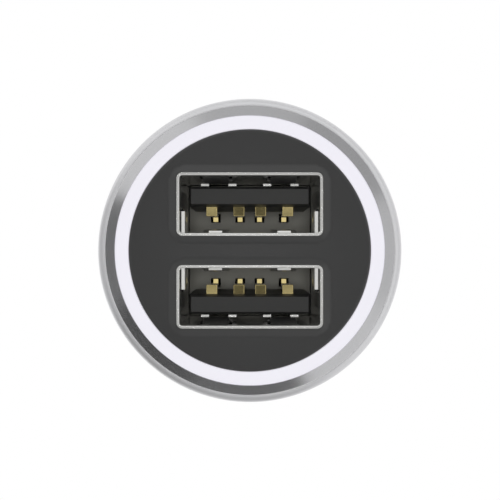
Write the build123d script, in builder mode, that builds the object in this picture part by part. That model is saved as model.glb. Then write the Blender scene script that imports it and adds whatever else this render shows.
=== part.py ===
from build123d import *
import os

# Car charger with two USB sockets, for a 12 V vehicle socket. The plug's axis runs along Y, with the face
# toward -Y and the tip toward +Y, and +Z is up. The origin is on the axis, in the plane of the shoulder that
# stops against the mouth of the vehicle socket.

# Stations along the axis
ridge_y = -19.0
face_y = -18.3
collar_front = -4.0
barrel_end = 33.0
neck_end = 37.0
nose_end = 41.0
tip_end = 45.0

# Clearances
fit = 0.05          # between pieces that are pushed together
slip = 0.1          # around openings that a piece stands in
free = 0.3          # around pieces that move

# Corners of a square section
square_sides = 4

# USB sockets: their places and outer sizes, which the face and the head are built around
port_z = 4.125
usb_width = 13.1
usb_height = 5.7
usb_wall = 0.3
usb_corner = 0.55
usb_length = 13.0

# Light ring, face and their flanges
face_margin = 1.24166
ring_width = 1.19
face_flange_step = 0.49
ring_inner = Vector(usb_width / 2, port_z + usb_height / 2).length + face_margin
lip_radius = ring_inner + ring_width
face_flange_radius = ring_inner + face_flange_step
flange_front = -16.5
flange_back = -15.6
edge_round = 0.15

# Head shell
bevel_width = 0.72
rim_width = 0.73
lip_step = 0.3
lip_depth = 1.2
ridge_radius = lip_radius + bevel_width
head_radius = ridge_radius + rim_width
shell_bore = lip_radius + lip_step
front_round = 0.68
rear_chamfer = 0.4

# Raised soft lip around the openings of the face
lip_width = 0.8
lip_height = 0.16
lip_taper = 78.69
opening_gap = 0.04

# Light board
led_board_front = -14.6
led_board_back = -13.8
led_board_width = 2.4
led_board_outer = shell_bore - fit - slip
led_board_inner = led_board_outer - led_board_width
post_radius = 0.5
post_inset = 0.85
post_place = face_flange_radius - post_inset
post_count = 4
led_count = 8
led_inset = 0.7
led_place = led_board_outer - led_inset
led_length = 1.6
led_width = 0.8
led_height = 0.7
led_cap_height = 0.45
led_cap_length = 1.0

# Inside the USB sockets
inner_width = usb_width - 2 * usb_wall
inner_height = usb_height - 2 * usb_wall
usb_back = face_y + usb_length
tongue_side_gap = 0.7
tongue_width = inner_width - 2 * tongue_side_gap
tongue_thick = 1.84
tongue_recess = 1.24
tongue_gap = 0.86
tongue_edge = 0.24
base_length = 3.2
base_depth = usb_length - base_length
foot_step = 0.4
floor_cut_depth = base_depth + foot_step
foot_side_gap = 0.55
foot_width = inner_width - 2 * foot_side_gap

# Spring fingers pressed out of the socket shells
finger_width = 2.4
finger_x = 3.1
finger_root = 0.9
finger_crest = 3.9
finger_tip = 5.0
finger_rise = 0.42
finger_lift = 0.2
finger_slot = 0.25
side_finger_width = 1.9
side_finger_z = 1.45

# Legs of the socket shells in the main board
leg_width = 1.2
leg_thick = usb_wall
leg_past_board = 0.3
leg_depths = {
    "upper": (usb_length - 6.9, usb_length - 3.1),
    "lower": (usb_length - 5.0, usb_length - 1.2),
}

# Contacts of the USB sockets
contact_x = (-3.5, -1.0, 1.0, 3.5)
contact_thick = 0.25
contact_width = 0.55
contact_front_width = 1.0
contact_crest_drop = 0.69
contact_root_drop = 0.42
contact_tail_drop = 0.96
contact_step_depth = base_depth + slip
slot_drop = 0.78
slot_height = 1.1
slot_side = 0.22
contact_hook_depth = 2.4
contact_crest_depth = 3.2
contact_wide_length = 2.6
contact_hook_top = 0.1
contact_tail_reach = 0.35
contact_foot_length = 0.7
contact_tail_depth = usb_length + contact_tail_reach
contact_foot_depth = contact_tail_depth + contact_foot_length
pocket_depth = 0.4
pocket_length = 0.9

# Barrel
barrel_radius = 10.3
barrel_plain_end = 12.0
barrel_step = 0.15
barrel_taper = 0.4
barrel_wall_thick = 1.2
barrel_end_radius = barrel_radius - barrel_taper
barrel_bore = barrel_radius - barrel_wall_thick
collar_radius = shell_bore - fit
end_wall_front = 28.6
end_wall_back = 30.0
neck_step = 2.4
neck_radius = barrel_radius - neck_step
neck_wall = 2.5
chamber_radius = neck_radius - neck_wall
rail_depth = 1.0
rail_height = 1.0
window_front = 12.6
window_back = 26.4
window_half = 2.45
barrel_edge = 0.5

# Main board
board_thick = 1.6
board_front = -15.3
board_nose_gap = 0.25
board_head_gap = 1.1
board_rail_gap = 0.5
board_tail_gap = 2.4
board_nose_half = led_board_inner - board_nose_gap
board_head_half = shell_bore - board_head_gap
board_rail_half = barrel_bore - board_rail_gap
board_tail_half = barrel_bore - board_tail_gap
board_step = 10.4
board_back = end_wall_front - free
board_corner = 0.6
board_top = board_thick / 2

# Ground contacts in the sides of the barrel
ground_thick = 0.4
ground_stand = 0.7
ground_half = window_half - free
ground_tab_x = barrel_bore - free - fit - ground_thick / 2
ground_crest_x = barrel_radius + ground_stand
ground_hold = 1.4
ground_flat = 0.6
ground_rise = 3.6
ground_points = (
    window_front - ground_hold,
    window_front + ground_flat,
    window_front + ground_rise,
    window_back - ground_rise,
    window_back - ground_flat,
    window_back + ground_hold,
)
ground_bend = 0.8

# Leaf springs behind the ground contacts
leaf_thick = 0.3
leaf_half = 0.75
leaf_end = 2.8
leaf_bow = 1.9
leaf_foot = 0.6
leaf_middle = (window_front + window_back) / 2
leaf_reaches = (-leaf_end, -leaf_bow, -leaf_foot, leaf_foot, leaf_bow, leaf_end)
leaf_points = [leaf_middle + reach for reach in leaf_reaches]

# Nose cap
cap_step = 0.7
cap_radius = barrel_radius - cap_step
cap_slope = 3.2
cap_top_radius = cap_radius - cap_slope
cap_bore = neck_radius + fit
cap_grip_end = 35.6
cap_lip = 39.4
cap_hole_step = 2.3
cap_hole = chamber_radius - cap_hole_step
cap_chamfer = 0.4
flute_count = 24
flute_depth = 0.3

# Centre contact, its spring and the seat of the spring
pin_radius = cap_hole - free + fit
pin_flange_radius = chamber_radius - free
pin_flange_back = 39.3
pin_flange_front = 37.8
pin_round_share = 2 / 3
pin_round = pin_radius * pin_round_share
spigot_step = 0.25
spigot_radius = pin_radius - spigot_step
spigot_end = 34.8
spring_wire = 0.6
spring_gap = 1.8
spring_radius = chamber_radius - spring_gap
spring_turns = 5
seat_gap = 0.8
seat_radius = chamber_radius - seat_gap
seat_thick = 0.5
seat_tab_half = 1.2
seat_tab_thick = 0.4
seat_tab_front = 25.4

# Parts soldered to the main board: places are (x, y) of the middle
inductor_size = (7.0, 7.0, 4.2)
inductor_at = (0.0, 3.0)
inductor_corner = 0.9
inductor_pad = (1.8, 7.3, 0.3)
can_radius = 3.15
can_front = 8.2
can_back = 17.4
can_bead = 0.25
can_bead_at = 1.3
can_lead_radius = 0.3
wire_sides = 6
can_lead_x = 1.25
can_lead_out = 1.0
small_can_radius = 2.5
small_can_front = 13.0
small_can_back = 20.5
capacitors = (
    ("input_capacitor", can_radius, can_front, can_back, 1),
    ("output_capacitor", small_can_radius, small_can_front, small_can_back, -1),
)
chip_size = (4.9, 3.9, 1.45)
chip_at = (0.0, 2.4)
chip_lead_count = 4
chip_pitch = 1.27
chip_lead_width = 0.42
chip_lead_thick = 0.22
chip_lead_reach = 1.05
chip_stand = 0.12
small_chip_size = (2.9, 1.6, 1.1)
small_chip_leads = 3
small_chip_pitch = 0.95
small_chip_gap = 3.7
small_chip_at = (-5.4, usb_back + small_chip_gap)
fuse_size = (2.7, 6.1, 2.3)
fuse_at = (0.0, 21.4)
fuse_cap = 1.2
diode_size = (4.3, 2.6, 2.1)
diode_at = (0.0, 9.2)
diode_tab = (5.2, 1.5, 0.3)
chip_part_size = (1.6, 0.8, 0.5)
chip_part_cap = 0.3
top_chip_parts = ((5.2, -1.8), (5.2, 0.0), (-5.2, 4.6), (-5.2, 6.4), (4.6, 8.6), (-4.4, 20.4), (-4.4, 22.2))
low_chip_parts = ((5.4, 1.2), (5.4, 3.0), (-5.4, 3.6), (4.0, 22.6), (4.0, 24.4), (-4.0, 23.6))


def station(y):
    """Plane square to the axis at y, with its sketch X along X and its sketch Y up."""
    return Plane.XZ.offset(-y)


def save(piece, name):
    """Names a finished piece and writes it as its own file."""
    piece.label = name
    export_step(piece, f"parts/{name}.step")


os.makedirs("parts", exist_ok=True)
ports = {"upper": 1, "lower": -1}
sides = {"left": -1, "right": 1}

# Head shell: a turned sleeve. Its rim rises in a bevel from the light ring to a ridge and is rounded outside
with BuildPart() as head_shell:
    with BuildSketch(Plane.XY) as shell_wall:
        with BuildLine():
            Polyline(
                (shell_bore, 0),
                (head_radius - rear_chamfer, 0),
                (head_radius, -rear_chamfer),
                (head_radius, ridge_y),
                (ridge_radius, ridge_y),
                (lip_radius, face_y),
                (lip_radius, face_y + lip_depth),
                (shell_bore, face_y + lip_depth),
                close=True,
            )
        make_face()
        outer_corner = shell_wall.vertices().sort_by(Axis.Y)[:2].sort_by(Axis.X)[-1]
        fillet(outer_corner, radius=front_round)
    revolve(axis=Axis.Y)
save(head_shell.part, "head_shell")

# Light ring: the lit face flush with the face plate, and a flange behind the lip of the shell
with BuildPart() as light_ring:
    with BuildSketch(Plane.XY):
        with BuildLine():
            Polyline(
                (ring_inner, face_y),
                (lip_radius - fit, face_y),
                (lip_radius - fit, face_y + lip_depth),
                (shell_bore - fit, face_y + lip_depth),
                (shell_bore - fit, flange_back),
                (face_flange_radius + fit, flange_back),
                (face_flange_radius + fit, flange_front),
                (ring_inner, flange_front),
                close=True,
            )
        make_face()
    revolve(axis=Axis.Y)
save(light_ring.part, "light_ring")

# Face plate: disc with two openings in soft raised lips, a flange behind the ring, posts on the light board
opening_width = usb_width + opening_gap
opening_height = usb_height + opening_gap
with BuildPart() as face_plate:
    with BuildSketch(station(face_y)):
        Circle(ring_inner - fit)
    extrude(amount=face_y - flange_front)
    chamfer(face_plate.faces().sort_by(Axis.Y)[0].edges(), length=edge_round)
    with BuildSketch(station(flange_front)):
        Circle(face_flange_radius)
    extrude(amount=flange_front - flange_back)
    for side in ports.values():
        with BuildSketch(station(face_y)):
            with Locations((0, side * port_z)):
                RectangleRounded(
                    opening_width + 2 * lip_width,
                    opening_height + 2 * lip_width,
                    usb_corner + lip_width,
                )
        extrude(amount=lip_height, taper=lip_taper)
    for side in ports.values():
        with BuildSketch(station(ridge_y)):
            with Locations((0, side * port_z)):
                RectangleRounded(opening_width, opening_height, usb_corner + opening_gap / 2)
        extrude(amount=ridge_y - flange_back, mode=Mode.SUBTRACT)
    with BuildSketch(station(flange_back)):
        with PolarLocations(post_place, post_count):
            Circle(post_radius)
    extrude(amount=flange_back - led_board_front)
save(face_plate.part, "face_plate")

# Light board: a thin ring behind the light ring
with BuildPart() as led_board:
    with BuildSketch(station(led_board_front)):
        Circle(led_board_outer)
        Circle(led_board_inner, mode=Mode.SUBTRACT)
    extrude(amount=led_board_front - led_board_back)
save(led_board.part, "led_board")

# The lamps on the light board: a base with its end caps and the clear lens block
led_step = 360 / led_count
with BuildPart() as ring_leds:
    with BuildSketch(station(led_board_front)):
        with PolarLocations(led_place, led_count, start_angle=led_step / 2):
            Rectangle(led_width, led_length)
    extrude(amount=led_height - led_cap_height)
    with BuildSketch(station(led_board_front - led_height + led_cap_height)):
        with PolarLocations(led_place, led_count, start_angle=led_step / 2):
            Rectangle(led_width, led_cap_length)
    extrude(amount=led_cap_height)
save(ring_leds.part, "ring_leds")

# USB socket shells, insulators and contacts, one set above the main board and one below
wall_inside_x = inner_width / 2
for level, side in ports.items():
    centre_z = side * port_z
    tongue_mid_z = side * (port_z + inner_height / 2 - tongue_gap - tongue_thick / 2)
    tongue_under_z = side * (port_z + inner_height / 2 - tongue_gap - tongue_thick)
    floor_z = side * (port_z - inner_height / 2)
    floor_out_z = side * (port_z - usb_height / 2)

    with BuildPart() as usb_shell:
        with BuildSketch(station(face_y)):
            with Locations((0, centre_z)):
                RectangleRounded(usb_width, usb_height, usb_corner)
                RectangleRounded(inner_width, inner_height, usb_corner - usb_wall, mode=Mode.SUBTRACT)
        extrude(amount=-usb_length)
        # The floor is open under the foot of the insulator
        with BuildSketch(station(usb_back)):
            with Locations((0, (floor_z + floor_out_z) / 2)):
                Rectangle(foot_width + 2 * fit, 2 * usb_wall)
        extrude(amount=usb_length - floor_cut_depth + slip, mode=Mode.SUBTRACT)
        # Windows of the spring fingers, in the long walls and then in the short ones
        finger_middle = face_y + (finger_root + finger_tip + finger_slot) / 2
        finger_span = finger_tip + finger_slot - finger_root
        for x in (-finger_x, finger_x):
            with BuildSketch(Plane.XY):
                with Locations((x, finger_middle)):
                    Rectangle(finger_width + 2 * finger_slot, finger_span)
            extrude(amount=side * (port_z + usb_height), mode=Mode.SUBTRACT)
        side_finger_mid = side * (port_z - side_finger_z)
        with BuildSketch(Plane.YZ):
            with Locations((finger_middle, side_finger_mid)):
                Rectangle(finger_span, side_finger_width + 2 * finger_slot)
        extrude(amount=usb_width, both=True, mode=Mode.SUBTRACT)
        # The fingers themselves, bent in from the front and lifted again at their free ends
        for wall in (1, -1):
            wall_z = side * (port_z + wall * (inner_height + usb_wall) / 2)
            inward = -side * wall
            for x in (-finger_x, finger_x):
                with BuildSketch(Plane.YZ.offset(x)):
                    with BuildLine():
                        FilletPolyline(
                            (face_y + finger_root - usb_wall, wall_z),
                            (face_y + finger_root, wall_z),
                            (face_y + finger_crest, wall_z + inward * finger_rise),
                            (face_y + finger_tip, wall_z + inward * finger_lift),
                            radius=usb_wall,
                        )
                    trace(line_width=usb_wall)
                extrude(amount=finger_width / 2, both=True)
        for hand in sides.values():
            wall_x = hand * (inner_width + usb_wall) / 2
            with BuildSketch(Plane.XY.offset(side_finger_mid)):
                with BuildLine():
                    FilletPolyline(
                        (wall_x, face_y + finger_root - usb_wall),
                        (wall_x, face_y + finger_root),
                        (wall_x - hand * finger_rise, face_y + finger_crest),
                        (wall_x - hand * finger_lift, face_y + finger_tip),
                        radius=usb_wall,
                    )
                trace(line_width=usb_wall)
            extrude(amount=side_finger_width / 2, both=True)
        # Legs through the main board
        leg_end = -side * (board_top + leg_past_board)
        leg_top = floor_z + side * usb_corner
        leg_middles = [
            (hand * (usb_width - leg_thick) / 2, face_y + depth)
            for hand in sides.values()
            for depth in leg_depths[level]
        ]
        with BuildSketch(Plane.XY.offset(leg_end)):
            with Locations(leg_middles):
                Rectangle(leg_thick, leg_width)
        extrude(amount=leg_top - leg_end)
    save(usb_shell.part, f"{level}_usb_shell")

    with BuildPart() as usb_insulator:
        with BuildSketch(station(face_y + tongue_recess)):
            with Locations((0, tongue_mid_z)):
                Rectangle(tongue_width, tongue_thick)
        extrude(amount=-(base_depth - tongue_recess))
        front_edges = usb_insulator.faces().sort_by(Axis.Y)[0].edges()
        chamfer(front_edges, length=tongue_edge)
        with BuildSketch(station(face_y + base_depth)):
            with Locations((0, centre_z)):
                RectangleRounded(
                    inner_width - 2 * fit, inner_height - 2 * fit, usb_corner - usb_wall
                )
        extrude(amount=-(usb_length - base_depth))
        with BuildSketch(station(face_y + floor_cut_depth)):
            with Locations((0, (floor_z + side * board_top) / 2 + side * fit / 2)):
                Rectangle(foot_width, abs(floor_z - side * board_top) + fit)
        extrude(amount=-(usb_length - floor_cut_depth))
        # A pocket in the tongue for the hook of each contact, and a slot through the base
        for x in contact_x:
            with BuildSketch(station(face_y + contact_hook_depth - pocket_length / 2)):
                with Locations((x, tongue_under_z)):
                    Rectangle(contact_front_width + 2 * slip, 2 * pocket_depth)
            extrude(amount=-pocket_length, mode=Mode.SUBTRACT)
            with BuildSketch(station(face_y + base_depth)):
                with Locations((x, tongue_under_z - side * slot_drop)):
                    Rectangle(contact_width + 2 * slot_side, slot_height)
            extrude(amount=-(usb_length - base_depth), mode=Mode.SUBTRACT)
    save(usb_insulator.part, f"{level}_usb_insulator")

    with BuildPart() as usb_contacts:
        root_z = tongue_under_z - side * contact_root_drop
        tail_z = tongue_under_z - side * contact_tail_drop
        foot_z = side * (board_top + contact_thick / 2)
        for x in contact_x:
            with BuildSketch(Plane.YZ.offset(x)):
                with BuildLine():
                    Polyline(
                        (face_y + contact_hook_depth, tongue_under_z + side * contact_hook_top),
                        (face_y + contact_hook_depth, tongue_under_z - side * contact_crest_drop),
                        (face_y + contact_crest_depth, tongue_under_z - side * contact_crest_drop),
                        (face_y + contact_step_depth, root_z),
                        (face_y + contact_step_depth, tail_z),
                        (face_y + contact_tail_depth, tail_z),
                        (face_y + contact_tail_depth, foot_z),
                        (face_y + contact_foot_depth, foot_z),
                    )
                trace(line_width=contact_thick)
            extrude(amount=contact_width / 2, both=True)
            # The touching end is wider than the rest of the strip
            with BuildSketch(Plane.YZ.offset(x)):
                with BuildLine():
                    Polyline(
                        (face_y + contact_hook_depth, tongue_under_z + side * contact_hook_top),
                        (face_y + contact_hook_depth, tongue_under_z - side * contact_crest_drop),
                        (
                            face_y + contact_hook_depth + contact_wide_length,
                            tongue_under_z - side * contact_crest_drop,
                        ),
                    )
                trace(line_width=contact_thick)
            extrude(amount=contact_front_width / 2, both=True)
    save(usb_contacts.part, f"{level}_usb_contacts")

# Main board: a nose between the sockets, a wide part in the head, then two narrower parts in the barrel
with BuildPart() as main_board:
    with BuildSketch(Plane.XY.offset(-board_top)) as board_outline:
        for half, front, back in (
            (board_nose_half, board_front, collar_front),
            (board_head_half, led_board_back, collar_front),
            (board_rail_half, led_board_back, board_step),
            (board_tail_half, led_board_back, board_back),
        ):
            with Locations((0, (front + back) / 2)):
                Rectangle(2 * half, back - front)
        ends = board_outline.vertices().group_by(Axis.Y)
        fillet(ends[0] + ends[-1], radius=board_corner)
    extrude(amount=board_thick)
    leg_slots = [
        (hand * (usb_width - leg_thick) / 2, face_y + depth)
        for hand in sides.values()
        for depths in leg_depths.values()
        for depth in depths
    ]
    with BuildSketch(Plane.XY.offset(-board_top)):
        with Locations(leg_slots):
            Rectangle(leg_thick + 2 * slip, leg_width + 2 * slip)
    extrude(amount=board_thick, mode=Mode.SUBTRACT)
    for name, radius, front, back, side in capacitors:
        with BuildSketch(Plane.XY.offset(-board_top)):
            with Locations((-can_lead_x, front - can_lead_out), (can_lead_x, front - can_lead_out)):
                Circle(can_lead_radius + slip)
        extrude(amount=board_thick, mode=Mode.SUBTRACT)
save(main_board.part, "main_board")

# Barrel: tube with a collar in the head shell, rails for the board, windows, an end wall and a neck
with BuildPart() as barrel:
    with BuildSketch(Plane.XY) as barrel_wall:
        with BuildLine():
            Polyline(
                (barrel_bore, collar_front),
                (collar_radius, collar_front),
                (collar_radius, 0),
                (barrel_radius, 0),
                (barrel_radius, barrel_plain_end),
                (barrel_radius - barrel_step, barrel_plain_end + barrel_step),
                (barrel_end_radius, barrel_end),
                (neck_radius, barrel_end),
                (neck_radius, neck_end),
                (chamber_radius, neck_end),
                (chamber_radius, end_wall_back),
                (0, end_wall_back),
                (0, end_wall_front),
                (barrel_bore, end_wall_front),
                close=True,
            )
        make_face()
        far_edge = barrel_wall.vertices().sort_by_distance((barrel_end_radius, barrel_end))[0]
        chamfer(far_edge, length=barrel_edge)
    revolve(axis=Axis.Y)
    # Rails above and below the edges of the board
    rail_mid_z = board_top + slip + rail_height / 2
    with BuildSketch(station(collar_front)):
        Circle(barrel_bore + fit)
        Rectangle(2 * (board_rail_half - rail_depth), 2 * barrel_bore, mode=Mode.SUBTRACT)
        Rectangle(2 * barrel_bore, 2 * (board_top + slip), mode=Mode.SUBTRACT)
        with Locations((0, rail_mid_z + barrel_bore), (0, -rail_mid_z - barrel_bore)):
            Rectangle(2 * barrel_bore, 2 * barrel_bore - rail_height, mode=Mode.SUBTRACT)
    extrude(amount=collar_front - board_step)
    # Windows of the ground contacts
    for hand in sides.values():
        with BuildSketch(Plane.YZ):
            with Locations(((window_front + window_back) / 2, 0)):
                RectangleRounded(window_back - window_front, 2 * window_half, barrel_edge)
        extrude(amount=hand * (barrel_radius + free), mode=Mode.SUBTRACT)
    # Slot in the end wall for the tab of the spring seat
    with BuildSketch(station(end_wall_front)):
        with Locations((0, board_top + seat_tab_thick / 2)):
            Rectangle(2 * (seat_tab_half + free), seat_tab_thick + 2 * slip)
    extrude(amount=end_wall_front - end_wall_back, mode=Mode.SUBTRACT)
save(barrel.part, "barrel")

# Ground contacts: strips bowed out through the windows, their ends behind the wall of the barrel
tab_front, rise_front, crest_front, crest_back, rise_back, tab_back = ground_points
for name, hand in sides.items():
    with BuildPart() as ground_contact:
        with BuildSketch(Plane.XY):
            with BuildLine():
                FilletPolyline(
                    (hand * ground_tab_x, tab_front),
                    (hand * ground_tab_x, rise_front),
                    (hand * ground_crest_x, crest_front),
                    (hand * ground_crest_x, crest_back),
                    (hand * ground_tab_x, rise_back),
                    (hand * ground_tab_x, tab_back),
                    radius=ground_bend,
                )
            trace(line_width=ground_thick)
        extrude(amount=ground_half, both=True)
    save(ground_contact.part, f"ground_contact_{name}")

    # Leaf spring between the edge of the board and the back of the contact
    leaf_out = ground_crest_x - ground_thick / 2 - leaf_thick / 2
    leaf_in = board_tail_half + leaf_thick / 2
    pad_front, bow_front, foot_front, foot_back, bow_back, pad_back = leaf_points
    with BuildPart() as ground_spring:
        with BuildSketch(Plane.XY):
            with BuildLine():
                Polyline(
                    (hand * leaf_out, pad_front),
                    (hand * leaf_out, bow_front),
                    (hand * leaf_in, foot_front),
                    (hand * leaf_in, foot_back),
                    (hand * leaf_out, bow_back),
                    (hand * leaf_out, pad_back),
                )
            trace(line_width=leaf_thick)
        extrude(amount=leaf_half, both=True)
    save(ground_spring.part, f"ground_spring_{name}")

# Nose cap: screwed on the neck, grooved for grip, with the hole of the centre contact
with BuildPart() as nose_cap:
    with BuildSketch(Plane.XY) as cap_wall:
        with BuildLine():
            Polyline(
                (cap_bore, barrel_end),
                (cap_radius, barrel_end),
                (cap_radius, cap_grip_end),
                (cap_top_radius, nose_end),
                (cap_hole, nose_end),
                (cap_hole, cap_lip),
                (chamber_radius, cap_lip),
                (chamber_radius, neck_end + free),
                (cap_bore, neck_end + free),
                close=True,
            )
        make_face()
        cap_corners = (
            cap_wall.vertices().sort_by_distance((cap_radius, cap_grip_end))[:1]
            + cap_wall.vertices().sort_by_distance((cap_top_radius, nose_end))[:1]
        )
        chamfer(cap_corners, length=cap_chamfer)
    revolve(axis=Axis.Y)
    with BuildSketch(station(barrel_end)):
        with PolarLocations(cap_radius, flute_count):
            RegularPolygon(flute_depth, square_sides)
    extrude(amount=barrel_end - cap_grip_end + cap_chamfer, mode=Mode.SUBTRACT)
save(nose_cap.part, "nose_cap")

# Centre contact: rounded pin, a flange that stops behind the lip of the cap and a spigot in the spring
with BuildPart() as centre_contact:
    with BuildSketch(Plane.XY) as pin_half:
        with BuildLine():
            Polyline(
                (0, spigot_end),
                (spigot_radius, spigot_end),
                (spigot_radius, pin_flange_front),
                (pin_flange_radius, pin_flange_front),
                (pin_flange_radius, pin_flange_back),
                (pin_radius, pin_flange_back),
                (pin_radius, tip_end),
                (0, tip_end),
                close=True,
            )
        make_face()
        tip_corner = pin_half.vertices().sort_by_distance((pin_radius, tip_end))[0]
        fillet(tip_corner, radius=pin_round)
        spigot_corner = pin_half.vertices().sort_by_distance((spigot_radius, spigot_end))[0]
        chamfer(spigot_corner, length=edge_round)
    revolve(axis=Axis.Y)
save(centre_contact.part, "centre_contact")

# Seat of the spring: a disc against the end wall, with a tab soldered to the board
seat_back = end_wall_back + seat_thick
with BuildPart() as spring_seat:
    with BuildSketch(station(end_wall_back)):
        Circle(seat_radius)
    extrude(amount=-seat_thick)
    with BuildSketch(Plane.XY.offset(board_top)):
        with Locations((0, (seat_tab_front + seat_back) / 2)):
            Rectangle(2 * seat_tab_half, seat_back - seat_tab_front)
    extrude(amount=seat_tab_thick)
save(spring_seat.part, "spring_seat")

# Coil spring between the seat and the flange of the centre contact
coil_length = pin_flange_front - seat_back - spring_wire
with BuildPart() as contact_spring:
    with BuildLine() as coil_path:
        Helix(
            pitch=coil_length / spring_turns,
            height=coil_length,
            radius=spring_radius,
            center=(0, seat_back + spring_wire / 2, 0),
            direction=(0, 1, 0),
        )
    with BuildSketch(Plane(origin=coil_path.line @ 0, z_dir=coil_path.line % 0)):
        RegularPolygon(spring_wire / 2, square_sides)
    sweep(is_frenet=True)
save(contact_spring.part, "contact_spring")

# Inductor: a ferrite block with rounded corners on two wide pads
inductor_x, inductor_y = inductor_at
with BuildPart() as power_inductor:
    with BuildSketch(Plane.XY.offset(board_top)):
        with Locations(inductor_at):
            Rectangle(inductor_pad[1], inductor_pad[0])
    extrude(amount=inductor_pad[2])
    with BuildSketch(Plane.XY.offset(board_top + inductor_pad[2])):
        with Locations(inductor_at):
            RectangleRounded(inductor_size[0], inductor_size[1], inductor_corner)
    extrude(amount=inductor_size[2] - inductor_pad[2])
    chamfer(power_inductor.faces().sort_by(Axis.Z)[-1].edges(), length=edge_round)
save(power_inductor.part, "power_inductor")

# Electrolytic capacitors lying along the board: a beaded can and two leads bent down into the board
for name, radius, front, back, side in capacitors:
    can_z = side * (board_top + radius + slip)
    lead_end = -side * (board_top + leg_past_board)
    lead_y = front - can_lead_out
    lead_places = [(x, lead_y) for x in (-can_lead_x, can_lead_x)]
    with BuildPart() as capacitor:
        with BuildSketch(station(front)):
            with Locations((0, can_z)):
                Circle(radius)
        extrude(amount=front - back)
        can_ends = capacitor.faces().filter_by(Axis.Y).edges()
        chamfer(can_ends, length=can_bead)
        with BuildSketch(station(front + can_bead_at)):
            with Locations((0, can_z)):
                Circle(radius)
                Circle(radius - can_bead, mode=Mode.SUBTRACT)
        extrude(amount=-2 * can_bead, mode=Mode.SUBTRACT)
        with BuildSketch(station(lead_y)):
            with Locations((-can_lead_x, can_z), (can_lead_x, can_z)):
                RegularPolygon(can_lead_radius, wire_sides)
        extrude(amount=lead_y - front - can_bead)
        with BuildSketch(Plane.XY.offset(lead_end)):
            with Locations(lead_places):
                RegularPolygon(can_lead_radius, wire_sides)
        extrude(amount=can_z + side * can_lead_radius - lead_end)
    save(capacitor.part, name)

# Converter chip under the board, with bent leads on both long sides
chip_x, chip_y = chip_at
chip_floor = -board_top - chip_stand
with BuildPart() as converter_chip:
    with BuildSketch(Plane.XY.offset(chip_floor)):
        with Locations(chip_at):
            Rectangle(chip_size[0], chip_size[1])
    extrude(amount=-chip_size[2])
    chamfer(converter_chip.faces().sort_by(Axis.Z)[0].edges(), length=edge_round)
    lead_mid_z = chip_floor - chip_size[2] / 2
    lead_foot_z = -board_top - chip_lead_thick / 2
    for row in (-1, 1):
        edge_y = chip_y + row * chip_size[1] / 2
        for lead in range(chip_lead_count):
            lead_x = chip_x + (lead - (chip_lead_count - 1) / 2) * chip_pitch
            with BuildSketch(Plane.YZ.offset(lead_x)):
                with BuildLine():
                    Polyline(
                        (edge_y - row * chip_lead_thick, lead_mid_z),
                        (edge_y + row * chip_lead_reach / 2, lead_mid_z),
                        (edge_y + row * chip_lead_reach / 2, lead_foot_z),
                        (edge_y + row * chip_lead_reach, lead_foot_z),
                    )
                trace(line_width=chip_lead_thick)
            extrude(amount=chip_lead_width / 2, both=True)
save(converter_chip.part, "converter_chip")

# Port chips, one on each side of the board beside the sockets
small_x, small_y = small_chip_at
with BuildPart() as port_chips:
    for side in ports.values():
        with BuildSketch(Plane.XY.offset(side * (board_top + chip_stand))):
            with Locations(small_chip_at):
                Rectangle(small_chip_size[0], small_chip_size[1])
        extrude(amount=side * small_chip_size[2])
        small_mid_z = side * (board_top + chip_stand + small_chip_size[2] / 2)
        small_foot_z = side * (board_top + chip_lead_thick / 2)
        for row in (-1, 1):
            edge_y = small_y + row * small_chip_size[1] / 2
            for lead in range(small_chip_leads):
                lead_x = small_x + (lead - (small_chip_leads - 1) / 2) * small_chip_pitch
                with BuildSketch(Plane.YZ.offset(lead_x)):
                    with BuildLine():
                        Polyline(
                            (edge_y - row * chip_lead_thick, small_mid_z),
                            (edge_y + row * chip_lead_reach / 4, small_mid_z),
                            (edge_y + row * chip_lead_reach / 4, small_foot_z),
                            (edge_y + row * chip_lead_reach / 2, small_foot_z),
                        )
                    trace(line_width=chip_lead_thick)
                extrude(amount=chip_lead_width / 2, both=True)
save(port_chips.part, "port_chips")

# Fuse: a ceramic block with metal end caps, on the board
fuse_x, fuse_y = fuse_at
cap_shift = (fuse_size[1] - fuse_cap) / 2
with BuildPart() as fuse:
    with BuildSketch(Plane.XY.offset(board_top)):
        with Locations((fuse_x, fuse_y - cap_shift), (fuse_x, fuse_y + cap_shift)):
            Rectangle(fuse_size[0], fuse_cap)
    extrude(amount=fuse_size[2])
    fillet(fuse.edges().filter_by(Axis.Y), radius=edge_round)
    with BuildSketch(Plane.XY.offset(board_top + slip)):
        with Locations(fuse_at):
            Rectangle(fuse_size[0] - 2 * slip, fuse_size[1] - fuse_cap)
    extrude(amount=fuse_size[2] - 2 * slip)
save(fuse.part, "fuse")

# Diode under the board: a moulded block on two bent tabs
with BuildPart() as diode:
    with BuildSketch(Plane.XY.offset(-board_top - diode_tab[2])):
        with Locations(diode_at):
            Rectangle(diode_size[0], diode_size[1])
    extrude(amount=-(diode_size[2] - diode_tab[2]), taper=6)
    with BuildSketch(Plane.XY.offset(-board_top)):
        with Locations(diode_at):
            Rectangle(diode_tab[0], diode_tab[1])
    extrude(amount=-diode_tab[2])
save(diode.part, "diode")

# Small ceramic capacitors and resistors: a body between two end caps
with BuildPart() as chip_parts:
    for side, places in ((1, top_chip_parts), (-1, low_chip_parts)):
        with BuildSketch(Plane.XY.offset(side * board_top)):
            for hand in sides.values():
                shift = hand * (chip_part_size[0] - chip_part_cap) / 2
                with Locations([(x + shift, y) for x, y in places]):
                    Rectangle(chip_part_cap, chip_part_size[1])
        extrude(amount=side * chip_part_size[2])
        with BuildSketch(Plane.XY.offset(side * (board_top + fit))):
            with Locations(places):
                Rectangle(chip_part_size[0] - chip_part_cap, chip_part_size[1] - 2 * fit)
        extrude(amount=side * (chip_part_size[2] - 2 * fit))
save(chip_parts.part, "chip_parts")
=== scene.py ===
import math

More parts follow.
